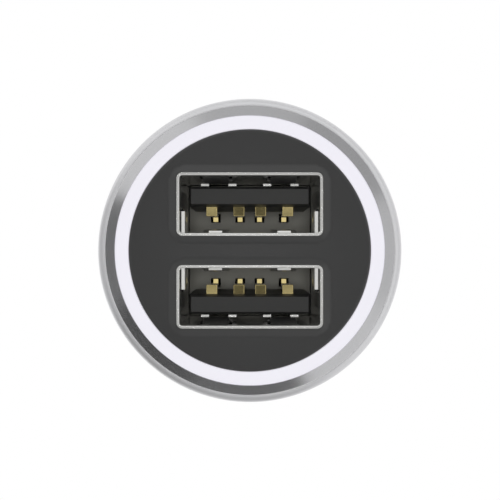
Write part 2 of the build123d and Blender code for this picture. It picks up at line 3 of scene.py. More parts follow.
import bpy
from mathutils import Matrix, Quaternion, Vector


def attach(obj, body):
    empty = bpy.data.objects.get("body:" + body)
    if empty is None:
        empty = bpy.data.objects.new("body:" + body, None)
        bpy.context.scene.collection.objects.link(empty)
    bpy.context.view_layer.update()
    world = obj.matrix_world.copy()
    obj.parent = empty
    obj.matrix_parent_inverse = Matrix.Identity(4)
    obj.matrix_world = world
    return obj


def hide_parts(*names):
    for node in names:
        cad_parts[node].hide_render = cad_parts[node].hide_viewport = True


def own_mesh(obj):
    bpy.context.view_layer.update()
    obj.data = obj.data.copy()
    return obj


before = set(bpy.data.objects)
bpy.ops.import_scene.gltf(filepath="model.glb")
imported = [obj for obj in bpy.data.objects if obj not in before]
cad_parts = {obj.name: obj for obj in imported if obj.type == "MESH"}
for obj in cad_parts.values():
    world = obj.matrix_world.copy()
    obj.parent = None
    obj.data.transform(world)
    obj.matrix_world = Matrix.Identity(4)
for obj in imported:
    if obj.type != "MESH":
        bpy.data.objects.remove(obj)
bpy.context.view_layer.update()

mm = 0.001
quarter = math.pi / 2

# Sizes in millimetres, the same as the solids have: y runs from the face (negative) to the tip.
face_y, ridge_y = -18.3, -19.0
head_radius, ridge_radius, lip_radius, shell_bore = 13.45, 12.72, 12.0, 12.3
lip_back = face_y + 1.2
ring_inner, flange_front, flange_back, plate_flange = 10.81, -16.5, -15.6, 11.3
port_z, port_width, port_height, port_wall, port_corner = 4.125, 13.1, 5.7, 0.3, 0.55
inner_width, inner_height = port_width - 2 * port_wall, port_height - 2 * port_wall
tongue_gap, tongue_width, tongue_height = 0.86, 11.1, 1.84
tongue_under = port_z + inner_height / 2 - tongue_gap - tongue_height
sides = (1, -1)


# ---------------------------------------------------------------- materials


def linear(code):
    """Turns an sRGB hex value such as #3E3E3E into the linear colour that Blender works in."""
    channels = [int(code[i : i + 2], 16) / 255 for i in (1, 3, 5)]
    return [c / 12.92 if c <= 0.04045 else ((c + 0.055) / 1.055) ** 2.4 for c in channels] + [1.0]


def add(tree, kind, links=(), inputs=(), **settings):
    """Adds one node with its settings, the values of its sockets and the links into them."""
    made = tree.nodes.new(kind)
    for name, value in settings.items():
        setattr(made, name, value)
    for socket, value in dict(inputs).items():
        made.inputs[socket].default_value = value
    for socket, output in dict(links).items():
        tree.links.new(output, made.inputs[socket])
    return made


def finish(
    name,
    code,
    roughness,
    metallic=0.0,
    grain_mm=0.1,
    grain=0.02,
    mottle=0.04,
    stretch=(1, 1, 1),
    deep=(),
    outside=(),
    **sockets,
):
    """A surface with fine grain: grain_mm is the size of the grain, mottle how far the colour wanders.

    deep, when given, is a colour that it turns to between two places along the axis, in millimetres: painted light, a
    paler tone that stands in for light falling there.
    outside, when given, is a radius in millimetres and the roughness beyond it.
    """
    made = bpy.data.materials.new(name)
    made.use_nodes = True
    tree = made.node_tree
    tree.nodes.clear()
    place = add(tree, "ShaderNodeTexCoord").outputs["Object"]
    placed = add(tree, "ShaderNodeMapping", {"Vector": place}, {"Scale": stretch}).outputs["Vector"]
    fine = add(
        tree,
        "ShaderNodeTexNoise",
        {"Vector": placed},
        {"Scale": 1 / (grain_mm * mm), "Detail": 4.0, "Roughness": 0.6},
    )
    broad = add(tree, "ShaderNodeTexNoise", {"Vector": placed}, {"Scale": 1 / (3.0 * mm), "Detail": 2.0})
    colour = linear(code)
    dark = [c * (1 - mottle) for c in colour[:3]] + [1.0]
    light = [min(1.0, c * (1 + mottle)) for c in colour[:3]] + [1.0]
    tint = add(tree, "ShaderNodeMix", {"Factor": broad.outputs["Fac"]}, data_type="RGBA")
    tint.inputs["A"].default_value = dark
    tint.inputs["B"].default_value = light
    # Painted light: the colour turns to the deep tone between the two places along the axis
    if deep:
        along = add(tree, "ShaderNodeSeparateXYZ", {0: place}).outputs["Y"]
        share = add(
            tree, "ShaderNodeMapRange", {"Value": along}, {"From Min": deep[1] * mm, "From Max": deep[2] * mm}
        )
        tint = add(
            tree,
            "ShaderNodeMix",
            {"Factor": share.outputs["Result"], "A": tint.outputs["Result"]},
            data_type="RGBA",
        )
        tint.inputs["B"].default_value = linear(deep[0])
    rough = add(
        tree,
        "ShaderNodeMapRange",
        {"Value": fine.outputs["Fac"]},
        {"To Min": roughness * 0.85, "To Max": roughness * 1.15},
    )
    if outside:
        flat = add(tree, "ShaderNodeVectorMath", {0: place}, {1: (1, 0, 1)}, operation="MULTIPLY").outputs["Vector"]
        radius = add(tree, "ShaderNodeVectorMath", {0: flat}, operation="LENGTH").outputs["Value"]
        limits = {"From Min": (outside[0] - 0.01) * mm, "From Max": (outside[0] + 0.01) * mm, "To Max": outside[1]}
        rough = add(tree, "ShaderNodeMapRange", {"Value": radius, "To Min": rough.outputs["Result"]}, limits)
    relief = add(tree, "ShaderNodeBump", {"Height": fine.outputs["Fac"]}, {"Strength": grain, "Distance": 0.02 * mm})
    surface = add(
        tree,
        "ShaderNodeBsdfPrincipled",
        {
            "Base Color": tint.outputs["Result"],
            "Roughness": rough.outputs["Result"],
            "Normal": relief.outputs["Normal"],
        },
        {"Metallic": metallic, **sockets},
    )
    add(tree, "ShaderNodeOutputMaterial", {"Surface": surface.outputs["BSDF"]})
    return made


# Aluminium turned and bead blasted: pale, with a soft broad highlight, and its inner bevel cut bright afterwards.
satin_aluminium = finish("turned satin aluminium", "#D8D8DA", 0.2, 1.0, 0.12, 0.005, 0.02, outside=(12.74, 0.34))
# Polycarbonate light diffuser lit from behind: nearly white, a touch of lavender.
lit_diffuser = finish(
    "lit polycarbonate diffuser",
    "#A9A8AE",
    0.4,
    grain_mm=0.3,
    mottle=0.01,
    **{"Emission Color": linear("#F3F1F9"), "Emission Strength": 0.5, "IOR": 1.58},
)
# ABS moulded in a spark-eroded tool: dark grey with a fine matt grain.
face_abs = finish("spark grained ABS", "#202020", 0.3, grain_mm=0.09, grain=0.08, mottle=0.05, IOR=1.65)
# Steel sheet with bright nickel plate: a mirror softened by rolling marks, with a little scattered light.
nickel_steel = finish("nickel plated sheet steel", "#DCDCD9", 0.2, 0.88, 0.25, 0.005, 0.02, (1, 0.15, 1))
# Glass-filled nylon of the insulators: dark grey and dull, with painted light at the base: the colour turns paler deep
# in the socket, standing in for light that falls there.
socket_nylon = finish(
    "glass filled nylon",
    "#20201F",
    0.5,
    grain_mm=0.12,
    grain=0.1,
    # Painted light: paler from 8 to 9.7 mm behind the face, on the base deep in the socket
    deep=("#787771", face_y + 8.0, face_y + 9.7),
    IOR=1.53,
)
# Gold flash over nickel on the contacts: warm and bright.
gold_flash = finish("gold flash on nickel", "#E8D596", 0.12, 1.0, 0.2, 0.01, 0.05)
# Black ABS of the barrel: fine matt grain, a soft shine at the edges.
barrel_abs = finish("black moulded ABS", "#1D1D1E", 0.4, grain_mm=0.12, grain=0.12, mottle=0.06, IOR=1.54)
# Stainless spring strip: bright, with rolling lines along the strip.
spring_strip = finish("rolled stainless strip", "#BDBCB8", 0.24, 1.0, 0.12, 0.05, 0.03, (1, 0.08, 1))
# Nickel on turned brass of the nose cap and the tip.
nickel_brass = finish("nickel plated brass", "#C6C4BD", 0.34, 1.0, 0.15, 0.01, 0.03, (1, 6, 1))
# Stamped brass of the spring's seat.
stamped_brass = finish("stamped brass", "#C9A24C", 0.3, 1.0, 0.2, 0.05, 0.06)
# Solder resist over glass laminate: green, glossy, with a faint weave under it.
green_resist = finish("green solder resist", "#0E4A26", 0.3, grain_mm=0.5, grain=0.06, mottle=0.12, IOR=1.5)
# White solder resist of the light board, which throws the light forward.
white_resist = finish("white solder resist", "#DADCD8", 0.35, grain_mm=0.5, grain=0.04, IOR=1.5)
# Silicone lens over the lamps' pale base.
lamp_lens = finish(
    "silicone lamp lens",
    "#F0EBC8",
    0.25,
    grain_mm=0.3,
    **{"Emission Color": linear("#FFFDF2"), "Emission Strength": 0.6, "IOR": 1.41},
)
# Pressed ferrite: dark grey, slightly gritty.
ferrite = finish("pressed ferrite", "#2C2C2E", 0.6, grain_mm=0.15, grain=0.25, mottle=0.12)
# Drawn aluminium can of the capacitors.
drawn_can = finish("drawn aluminium can", "#AEB2B8", 0.28, 1.0, 0.2, 0.04, 0.03, (1, 0.1, 1))
# Moulded epoxy of the chips and the diode.
chip_epoxy = finish("moulded epoxy", "#161616", 0.55, grain_mm=0.1, grain=0.2)
# Fired ceramic of the fuse.
fuse_ceramic = finish("fired white ceramic", "#D8D3C6", 0.5, grain_mm=0.2, grain=0.08)
# Fired barium titanate of the small capacitors: tan.
tan_ceramic = finish("fired tan ceramic", "#9C8460", 0.5, grain_mm=0.15, grain=0.1)


# ---------------------------------------------------------------- modelling


def deselect():
    bpy.ops.object.select_all(action="DESELECT")


def settle():
    """Puts the active piece's place and turn into its mesh."""
    bpy.ops.object.transform_apply(location=True, rotation=True, scale=True)
    return bpy.context.object


def apply(piece, kind, **settings):
    """Adds a modifier to the piece and applies it."""
    deselect()
    piece.select_set(True)
    bpy.context.view_layer.objects.active = piece
    modifier = piece.modifiers.new(kind, kind)
    for name, value in settings.items():
        setattr(modifier, name, value)
    bpy.ops.object.modifier_apply(modifier=modifier.name)
    return piece


def edit(piece, kind="VERT"):
    """Opens the piece in edit mode with all of it selected, by corners, edges or faces."""
    deselect()
    piece.select_set(True)
    bpy.context.view_layer.objects.active = piece
    bpy.context.tool_settings.mesh_select_mode = [kind == each for each in ("VERT", "EDGE", "FACE")]
    bpy.ops.object.mode_set(mode="EDIT")
    bpy.ops.mesh.select_all(action="SELECT")


def leave():
    bpy.ops.object.mode_set(mode="OBJECT")


def choose_edges(piece, test):
    """Opens the piece in edit mode with the edges selected whose two ends pass the test."""
    edit(piece, "EDGE")
    bpy.ops.mesh.select_all(action="DESELECT")
    leave()
    points = piece.data.vertices
    for edge in piece.data.edges:
        edge.select = test(*[points[i].co for i in edge.vertices])
    bpy.ops.object.mode_set(mode="EDIT")


def choose_faces(piece, test):
    """Opens the piece in edit mode with the faces selected whose middle and normal pass the test."""
    edit(piece, "FACE")
    bpy.ops.mesh.select_all(action="DESELECT")
    leave()
    for face in piece.data.polygons:
        face.select = test(face.center, face.normal)
    bpy.ops.object.mode_set(mode="EDIT")


def outward(piece):
    """Merges what lies on itself and turns every face outwards."""
    edit(piece)
    bpy.ops.mesh.remove_doubles(threshold=1e-7)
    bpy.ops.mesh.normals_make_consistent(inside=False)
    leave()
    return piece


def turned(profile, segments=192, closed=True):
    """Turns a profile of (radius, y) in millimetres about the axis, ring after ring.

    A closed profile makes a hollow ring of material, and an open one a solid with a flat at each end.
    """
    deselect()
    radius, y = profile[0]
    bpy.ops.mesh.primitive_circle_add(
        vertices=segments,
        radius=radius * mm,
        fill_type="NOTHING" if closed else "NGON",
        location=(0, y * mm, 0),
        rotation=(quarter, 0, 0),
    )
    piece = settle()
    edit(piece)
    points = list(profile[1:]) + ([profile[0]] if closed else [])
    for next_radius, next_y in points:
        bpy.ops.mesh.extrude_region_move(TRANSFORM_OT_translate={"value": (0, (next_y - y) * mm, 0)})
        if next_radius != radius:
            grow = next_radius / radius
            bpy.ops.transform.resize(value=(grow, 1, grow), center_override=(0, next_y * mm, 0))
        radius, y = next_radius, next_y
    leave()
    return outward(piece)


def arc(middle, radius, start, stop, steps):
    """Points of an arc in the profile plane, angles in degrees from the radius toward +y."""
    turns = [math.radians(start + (stop - start) * i / steps) for i in range(steps + 1)]
    return [(middle[0] + radius * math.cos(t), middle[1] + radius * math.sin(t)) for t in turns]


def block(width, length, height, middle, corner=0.0, steps=6):
    """A block along the axis, its four long edges rounded."""
    deselect()
    bpy.ops.mesh.primitive_cube_add(size=1, location=[c * mm for c in middle])
    bpy.context.object.scale = (width * mm, length * mm, height * mm)
    piece = settle()
    if corner:
        choose_edges(piece, lambda a, b: abs(a.y - b.y) > 0.9 * length * mm)
        bpy.ops.mesh.bevel(offset=corner * mm, segments=steps, affect="EDGES")
        leave()
    return piece


def join(pieces):
    deselect()
    for piece in pieces:
        piece.select_set(True)
    bpy.context.view_layer.objects.active = pieces[0]
    bpy.ops.object.join()
    return pieces[0]


def cut(piece, cutters, operation="DIFFERENCE"):
    """Cuts the piece with the cutters, or adds them to it, and removes them. The cutters keep clear of each other."""
    tool = join(cutters)
    apply(piece, "BOOLEAN", operation=operation, solver="EXACT", object=tool)
    bpy.data.objects.remove(tool)
    return piece


def strip(points, width, thick, across="X", bend=0.3, edge=0.02):
    """Sheet metal folded along points (x, y, z) in millimetres, its width along X or Z."""
    deselect()
    first = points[0]
    bpy.ops.mesh.primitive_plane_add(size=width * mm)
    piece = bpy.context.object
    choose_edges(piece, lambda a, b: a.y + b.y > 0)
    bpy.ops.mesh.delete(type="VERT")
    leave()
    piece.rotation_euler = (0, quarter if across == "Z" else 0, 0)
    piece.location = (first[0] * mm, (first[1] + width / 2) * mm, first[2] * mm)
    settle()
    edit(piece)
    for here, there in zip(points, points[1:]):
        step = [(b - a) * mm for a, b in zip(here, there)]
        bpy.ops.mesh.extrude_region_move(TRANSFORM_OT_translate={"value": step})
    leave()
    if bend:
        apply(piece, "BEVEL", width=bend * mm, segments=5, limit_method="ANGLE", angle_limit=math.radians(4))
    apply(piece, "SOLIDIFY", thickness=thick * mm, offset=0, use_even_offset=True)
    outward(piece)
    if edge:
        soften(piece, edge, angle=60)
    return piece


def bump(foot, inward, rise, width, run):
    """A ridge pressed in a sheet: it rises steeply inward, (x, z), over the run and falls away slowly."""
    x, y, z = foot
    slopes = ((0, 0), (run, rise), (1.0, rise), (1.8, 0))
    points = [(x + inward[0] * high, y + deep, z + inward[1] * high) for deep, high in slopes]
    return strip(points, width, 0.1, "X" if inward[1] else "Z", bend=0.05, edge=0.0)


def soften(piece, width, angle=30, segments=3):
    """Rounds every edge sharper than the angle."""
    return apply(
        piece,
        "BEVEL",
        width=width * mm,
        segments=segments,
        limit_method="ANGLE",
        angle_limit=math.radians(angle),
        use_clamp_overlap=True,
    )


def done(piece, name, body, material, nodes=(), smooth=35, weigh=True):
    """Names a finished piece, smooths it, gives it its finish and hands it to the frame."""
    deselect()
    piece.select_set(True)
    bpy.context.view_layer.objects.active = piece
    bpy.ops.object.shade_smooth_by_angle(angle=math.radians(smooth))
    if weigh:
        # Face areas are compared to within a fixed step, so this is done at a thousand times the size
        for scale in (1000, 0.001):
            piece.scale = (scale, scale, scale)
            settle()
            if scale > 1:
                apply(piece, "WEIGHTED_NORMAL", keep_sharp=True, weight=100, thresh=0.001)
    piece.name = piece.data.name = name
    piece.data.materials.clear()
    piece.data.materials.append(material)
    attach(piece, body)
    for node in nodes:
        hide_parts(node)
    return piece


def pins(count, radius, length, place, y, vertices):
    """Cylinders along the axis, evenly spaced about it at the radius place, with their middles at y."""
    made = []
    for turn in range(count):
        angle = math.tau * turn / count
        deselect()
        bpy.ops.mesh.primitive_cylinder_add(
            vertices=vertices,
            radius=radius * mm,
            depth=length * mm,
            location=(place * mm * math.cos(angle), y * mm, place * mm * math.sin(angle)),
            rotation=(quarter, 0, 0),
        )
        made.append(settle())
    return made


# Head shell: sleeve with an inward bevel, the ridge and the rounded outer edge with a faint tool line on it
head_segments, back_edge, round_radius = 256, 0.4, 0.68
round_middle = (head_radius - round_radius, ridge_y + round_radius)
line_start, line_end = -48, -67
line_middle, line_half = (line_start + line_end) / 2, (line_start - line_end) / 2
shell = turned(
    [(shell_bore, 0), (head_radius - back_edge, 0), (head_radius, -back_edge)]
    + arc(round_middle, round_radius, 0, line_start, 7)
    + arc(round_middle, round_radius / math.cos(math.radians(line_half)), line_middle, line_middle, 1)[:1]
    + arc(round_middle, round_radius, line_end, -90, 3)
    + [(ridge_radius, ridge_y), (lip_radius, face_y), (lip_radius, lip_back), (shell_bore, lip_back)],
    head_segments,
)
soften(shell, width=0.03)
done(shell, "HeadShell", "casing", satin_aluminium, ["head_shell"], smooth=14)

# Light ring: the lit face between shell and plate, its flange behind them
rim_gap, flange_gap = 0.01, 0.05
ring = turned(
    [
        (ring_inner, face_y),
        (lip_radius - rim_gap, face_y),
        (lip_radius - rim_gap, lip_back),
        (shell_bore - flange_gap, lip_back),
        (shell_bore - flange_gap, flange_back),
        (plate_flange + flange_gap, flange_back),
        (plate_flange + flange_gap, flange_front),
        (ring_inner, flange_front),
    ],
    head_segments,
)
soften(ring, width=0.05)
done(ring, "LightRing", "casing", lit_diffuser, ["light_ring"])

# Face plate: disc and flange, soft raised lips around the openings, and posts that hold it to the light board
plate_radius, plate_round, opening_gap = ring_inner - rim_gap, 0.2, 0.01
lip_width, lip_slopes, lip_foot = 0.8, (2, 6, 9, 10, 11), 0.5
plate = turned(
    arc((plate_radius - plate_round, face_y + plate_round), plate_round, -90, 0, 6)
    + [(plate_radius, flange_front), (plate_flange, flange_front), (plate_flange, flange_back)],
    head_segments,
    closed=False,
)
lands = []
for side in sides:
    land = block(
        port_width + 2 * lip_width,
        lip_foot,
        port_height + 2 * lip_width,
        (0, face_y + lip_foot / 2, side * port_z),
        port_corner + lip_width,
        12,
    )
    choose_faces(land, lambda middle, normal: normal.y < -0.9)
    step = lip_width / len(lip_slopes)
    for slope in lip_slopes:
        bpy.ops.mesh.inset(thickness=step * mm)
        bpy.ops.transform.translate(value=(0, -step * math.tan(math.radians(slope)) * mm, 0))
    leave()
    lands.append(land)
cut(plate, lands, "UNION")
openings = [
    block(port_width + opening_gap, 8, port_height + opening_gap, (0, face_y, side * port_z), port_corner, 10)
    for side in sides
]
cut(plate, openings)
cut(plate, pins(4, radius=0.5, length=1.1, place=10.45, y=flange_back + 0.45, vertices=24), "UNION")
done(plate, "FacePlate", "casing", face_abs, ["face_plate"])


# USB sockets, one above the other as mirror images, with depths counted from the face
socket_length, base_gap = 13.0, 0.1
finger_places, finger_root, finger_crest, finger_tip = (-3.1, 3.1), 0.9, 3.9, 5.0
finger_rise, finger_tip_rise, finger_width, side_finger_width = 0.42, 0.2, 2.4, 1.9
side_finger_drop, bump_depth, top_bump_depth = 1.45, 0.95, 4.2
window_length, window_width, side_window_height = finger_tip - finger_root + 0.25, 2.9, 2.4
foot_window = (11.5, 3.2, 0.8)
leg_x, leg_width, leg_length, leg_z = 6.4, 1.2, 3.2, 0.5
leg_depths = {1: (6.1, 9.9), -1: (8.0, 11.8)}
tongue_start, tongue_length = 1.84, 8.1
nose_length, nose_width, nose_height = 0.6, 10.66, 1.37
contact_places, contact_drops, foot_z = (-3.5, -1.0, 1.0, 3.5), (0.69, 0.42, 0.96), 0.925
contact_thick, contact_edge, blade_width, hook_width, hook_depth, hook_top = 0.25, 0.05, 0.55, 1.0, 2.4, 0.1


def within(point, middle_z):
    """How far a point of a socket's mouth lies outside the shell's outline, in mm, and inside it when negative."""
    across = abs(point.x) / mm - port_width / 2 + port_corner
    up = abs(point.z / mm - middle_z) - port_height / 2 + port_corner
    return math.hypot(max(across, 0), max(up, 0)) + min(max(across, up), 0) - port_corner


def finger(x, z, inward, width):
    """A spring finger out of the wall at (x, z): it rises along inward, (x, z), and falls back a little at its end."""
    shape = (
        (finger_root - 0.1, 0),
        (finger_root + 0.25, 0),
        (finger_crest, finger_rise),
        (finger_tip, finger_tip_rise),
    )
    points = [(x + inward[0] * rise, face_y + deep, z + inward[1] * rise) for deep, rise in shape]
    return strip(points, width, port_wall, "X" if inward[1] else "Z")


for side, level in ((1, "Upper"), (-1, "Lower")):
    middle_z = side * port_z
    under_z = side * tongue_under
    floor_z = side * (port_z - inner_height / 2)

    # Shell: folded sheet with spring fingers pressed in from windows in its four walls
    socket = block(port_width, socket_length, port_height, (0, face_y + socket_length / 2, middle_z), port_corner, 8)
    choose_faces(socket, lambda middle, normal: abs(normal.y) > 0.9)
    bpy.ops.mesh.delete(type="FACE")
    leave()
    apply(socket, "SOLIDIFY", thickness=port_wall * mm, offset=-1, use_even_offset=True)
    outward(socket)
    window_y = face_y + finger_root + window_length / 2
    side_z = middle_z - side * side_finger_drop
    cut(socket, [block(window_width, window_length, 8, (x, window_y, middle_z)) for x in finger_places])
    cut(socket, [block(15, window_length, side_window_height, (0, window_y, side_z))])
    cut(socket, [block(*foot_window, (0, face_y + 11.7, floor_z))])
    # The mouth: a wide round along its inner edge and a narrow one along its outer edge
    for round_size, near, far in ((0.1, -1.0, -0.2), (0.04, -0.1, 1.0)):
        choose_edges(
            socket,
            lambda a, b: max(a.y, b.y) < (face_y + 0.001) * mm
            and all(near < within(point, middle_z) < far for point in (a, b)),
        )
        bpy.ops.mesh.bevel(offset=round_size * mm, segments=5, affect="EDGES")
        leave()
    soften(socket, width=0.04, angle=50, segments=2)
    extras = []
    for wall in (1, -1):
        wall_z = side * (port_z + wall * (inner_height + port_wall) / 2)
        extras += [finger(x, wall_z, (0, -side * wall), finger_width) for x in finger_places]
    for hand in sides:
        extras.append(finger(hand * (inner_width + port_wall) / 2, side_z, (-hand, 0), side_finger_width))
    # Bumps pressed in the fingers, steep toward the mouth, where the plug touches
    for x in finger_places:
        extras.append(bump((x, face_y + bump_depth, floor_z), (0, side), rise=0.2, width=1.2, run=0.05))
        for shift in (-1.3, 1.3):
            foot = (x * 0.95 + shift, face_y + top_bump_depth, side * (port_z + inner_height / 2 - 0.36))
            extras.append(bump(foot, (0, -side), rise=0.25, width=0.75, run=0.01))
    for hand in sides:
        foot = (hand * (inner_width / 2 - 0.08), face_y + bump_depth, middle_z - side * 1.65)
        extras.append(bump(foot, (-hand, 0), rise=0.3, width=2.1, run=0.075))
    for depth in leg_depths[side]:
        for hand in sides:
            extras.append(block(port_wall, leg_width, leg_length, (hand * leg_x, face_y + depth, side * leg_z)))
    socket = join([socket] + extras)
    done(socket, level + "SocketShell", "casing", nickel_steel, [level.lower() + "_usb_shell"])

    # Insulator: tongue with pockets for the contacts, base with their slots, foot on the board
    tongue_z = under_z + side * tongue_height / 2
    tongue_middle = (0, face_y + tongue_start + tongue_length / 2, tongue_z)
    tongue = block(tongue_width, tongue_length, tongue_height, tongue_middle)
    choose_faces(tongue, lambda middle, normal: normal.y < -0.9)
    bpy.ops.mesh.extrude_region_move(TRANSFORM_OT_translate={"value": (0, -nose_length * mm, 0)})
    narrowing = (nose_width / tongue_width, 1, nose_height / tongue_height)
    bpy.ops.transform.resize(value=narrowing, center_override=(0, 0, tongue_z * mm))
    leave()
    base_size = (inner_width - base_gap, 3.2, inner_height - base_gap)
    cut(tongue, [block(*base_size, (0, face_y + 11.4, middle_z), 0.25, 3)], "UNION")
    cut(tongue, [block(11.4, 2.8, 1.2, (0, face_y + 11.6, side * 1.4))], "UNION")
    hollows = []
    for x in contact_places:
        hollows.append(block(1.2, 0.9, 0.8, (x, face_y + hook_depth, under_z)))
        hollows.append(block(0.99, 4, 0.87, (x, face_y + 11.8, under_z - side * 0.67)))
    cut(tongue, hollows)
    soften(tongue, width=0.04, angle=50, segments=2)
    done(tongue, level + "SocketInsulator", "casing", socket_nylon, [level.lower() + "_usb_insulator"])

    # Contacts: narrow strips from the board through the base, each with a wide end hooked up into the tongue
    blades = []
    crest_z, root_z, tail_z = (under_z - side * drop for drop in contact_drops)
    for x in contact_places:
        blade = [
            (x, face_y + hook_depth + 1, crest_z),
            (x, face_y + 9.86, root_z),
            (x, face_y + 9.9, tail_z),
            (x, face_y + 13.35, tail_z),
            (x, face_y + 13.35, side * foot_z),
            (x, face_y + 14.05, side * foot_z),
        ]
        lean = 0.12 if abs(x) < 2 else 0.09
        hook = [
            (x, face_y + hook_depth - lean, under_z + side * hook_top),
            (x, face_y + hook_depth, crest_z),
            (x, face_y + 5.0, crest_z),
        ]
        for points, width in ((blade, blade_width), (hook, hook_width)):
            blades.append(strip(points, width, contact_thick, bend=0.0, edge=contact_edge))
    contacts = join(blades)
    done(contacts, level + "SocketContacts", "casing", gold_flash, [level.lower() + "_usb_contacts"])

# Barrel: collar inside the head, plain front stretch, slight taper, windows and the neck of the nose cap
collar_radius, barrel_radius, barrel_bore, barrel_end = 12.25, 10.3, 9.1, 33.0
neck_radius, neck_end, tip_bore, spigot_bore = 7.9, 37.0, 5.4, 1.0
barrel = turned(
    [
        (barrel_bore, -4.0),
        (collar_radius, -4.0),
        (collar_radius, 0.0),
        (barrel_radius, 0.0),
        (barrel_radius, 12.0),
        (barrel_radius - 0.15, 12.15),
        (9.93, barrel_end - 0.5),
        (9.5, barrel_end),
        (neck_radius, barrel_end),
        (neck_radius, neck_end),
        (tip_bore, neck_end),
        (tip_bore, 30.0),
        (spigot_bore, 30.0),
        (spigot_bore, 28.6),
        (barrel_bore, 28.6),
    ]
)
for hand in sides:
    window = block(4.0, 13.8, 4.9, (hand * 10.4, 19.5, 0))
    choose_edges(window, lambda a, b: abs(a.x - b.x) > 3 * mm)
    bpy.ops.mesh.bevel(offset=0.5 * mm, segments=5, affect="EDGES")
    leave()
    cut(barrel, [window])
soften(barrel, width=0.12, angle=40)
done(barrel, "Barrel", "casing", barrel_abs, ["barrel"])

# Side contacts: bowed strips behind the windows, and the leaf springs behind them, as lines of (distance, y)
contact_line = ((8.55, 11.2), (8.55, 13.2), (11.0, 16.2), (11.0, 22.8), (8.55, 25.8), (8.55, 27.8))
leaf_line = ((10.65, 16.7), (10.65, 17.6), (6.85, 18.9), (6.85, 20.1), (10.65, 21.4), (10.65, 22.3))
for side, name in ((-1, "Left"), (1, "Right")):
    low = name.lower()
    contact = strip([(side * x, y, 0) for x, y in contact_line], 4.3, 0.4, "Z", bend=0.5, edge=0.06)
    done(contact, name + "SideContact", low + "_ground", spring_strip, ["ground_contact_" + low])
    leaf = strip([(side * x, y, 0) for x, y in leaf_line], 1.5, 0.3, "Z")
    done(leaf, name + "LeafSpring", "casing", spring_strip, ["ground_spring_" + low])
    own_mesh(leaf)

# Nose cap: fluted grip, cone and the lip that stops the tip
cap_bore, cap_radius, cap_end, lip_bore = 7.95, 9.6, 41.0, 3.1
cap = turned(
    [
        (cap_bore, barrel_end),
        (cap_radius, barrel_end),
        (cap_radius, 35.4),
        (9.3, 35.9),
        (6.7, 40.5),
        (6.1, cap_end),
        (lip_bore, cap_end),
        (lip_bore, 39.4),
        (tip_bore, 39.4),
        (tip_bore, 37.3),
        (cap_bore, 37.3),
    ]
)
cut(cap, pins(24, radius=0.45, length=5.2, place=9.75, y=barrel_end, vertices=20))
soften(cap, width=0.1)
done(cap, "NoseCap", "casing", nickel_brass, ["nose_cap"])

# Tip: rounded pin, flange behind the lip and the spigot in the spring
spigot_radius, flange_radius, pin_radius, pin_round = 2.6, 5.1, 2.85, 1.9
tip = turned(
    [
        (spigot_radius - 0.15, 34.8),
        (spigot_radius, 34.95),
        (spigot_radius, 37.8),
        (flange_radius, 37.8),
        (flange_radius, 39.3),
        (pin_radius, 39.3),
    ]
    + arc((pin_radius - pin_round, 43.1), pin_round, 0, 84, 12),
    segments=128,
    closed=False,
)
soften(tip, width=0.08, angle=40)
done(tip, "Tip", "tip", nickel_brass, ["centre_contact"])

# Coil spring behind the tip: a round wire wound in five turns
wire_radius, coil_radius, coil_start, coil_length, coil_turns = 0.3, 3.6, 30.8, 6.7, 5
deselect()
bpy.ops.mesh.primitive_circle_add(vertices=14, radius=wire_radius * mm, location=(coil_radius * mm, coil_start * mm, 0))
coil = settle()
apply(
    coil,
    "SCREW",
    axis="Y",
    angle=math.tau,
    iterations=coil_turns,
    screw_offset=coil_length / coil_turns * mm,
    steps=48,
    render_steps=48,
    use_merge_vertices=False,
)
edit(coil)
bpy.ops.mesh.fill_holes(sides=14)
leave()
outward(coil)
done(coil, "TipSpring", "casing", spring_strip, ["contact_spring"], smooth=60, weigh=False)
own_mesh(coil)

# The electronics inside stay as their solids, each with the finish of the real one
inside = {
    "led_board": white_resist,
    "ring_leds": lamp_lens,
    "main_board": green_resist,
    "spring_seat": stamped_brass,
    "power_inductor": ferrite,
    "input_capacitor": drawn_can,
    "output_capacitor": drawn_can,
    "converter_chip": chip_epoxy,
    "port_chips": chip_epoxy,
    "fuse": fuse_ceramic,
    "diode": chip_epoxy,
    "chip_parts": tan_ceramic,
}
for node, material in inside.items():
    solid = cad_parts[node]
    for place in solid.material_slots:
        place.material = material

# ---------------------------------------------------------------- stage, light and camera

# Pale floor, well below the part, that fades into the white backdrop away from it, with lengths in metres from here on
floor_size, floor_drop, fade_start, fade_end = 2, 0.32, 0.2, 0.4
deselect()
bpy.ops.mesh.primitive_plane_add(size=floor_size, location=(0, 0, -floor_drop))
floor = settle()
floor.name = "Floor"
paper = bpy.data.materials.new("pale paper")
paper.use_nodes = True
tree = paper.node_tree
tree.nodes.clear()
path = add(tree, "ShaderNodeLightPath")
seen = add(tree, "ShaderNodeMath", operation="MAXIMUM")
tree.links.new(path.outputs["Is Camera Ray"], seen.inputs[0])
tree.links.new(path.outputs["Is Glossy Ray"], seen.inputs[1])
place = add(tree, "ShaderNodeTexCoord").outputs["Object"]
away = add(tree, "ShaderNodeVectorMath", {0: place}, operation="LENGTH").outputs["Value"]
fade = add(tree, "ShaderNodeMapRange", {"Value": away}, {"From Min": fade_start, "From Max": fade_end})
share = add(tree, "ShaderNodeMath", {0: seen.outputs[0], 1: fade.outputs["Result"]}, operation="MULTIPLY")
matt = add(tree, "ShaderNodeBsdfDiffuse", inputs={"Color": (0.9, 0.9, 0.9, 1)})
white = add(tree, "ShaderNodeEmission", inputs={"Color": (1, 1, 1, 1), "Strength": 1.0})
both = add(
    tree, "ShaderNodeMixShader", {0: share.outputs[0], 1: matt.outputs["BSDF"], 2: white.outputs["Emission"]}
)
add(tree, "ShaderNodeOutputMaterial", {"Surface": both.outputs["Shader"]})
floor.data.materials.append(paper)

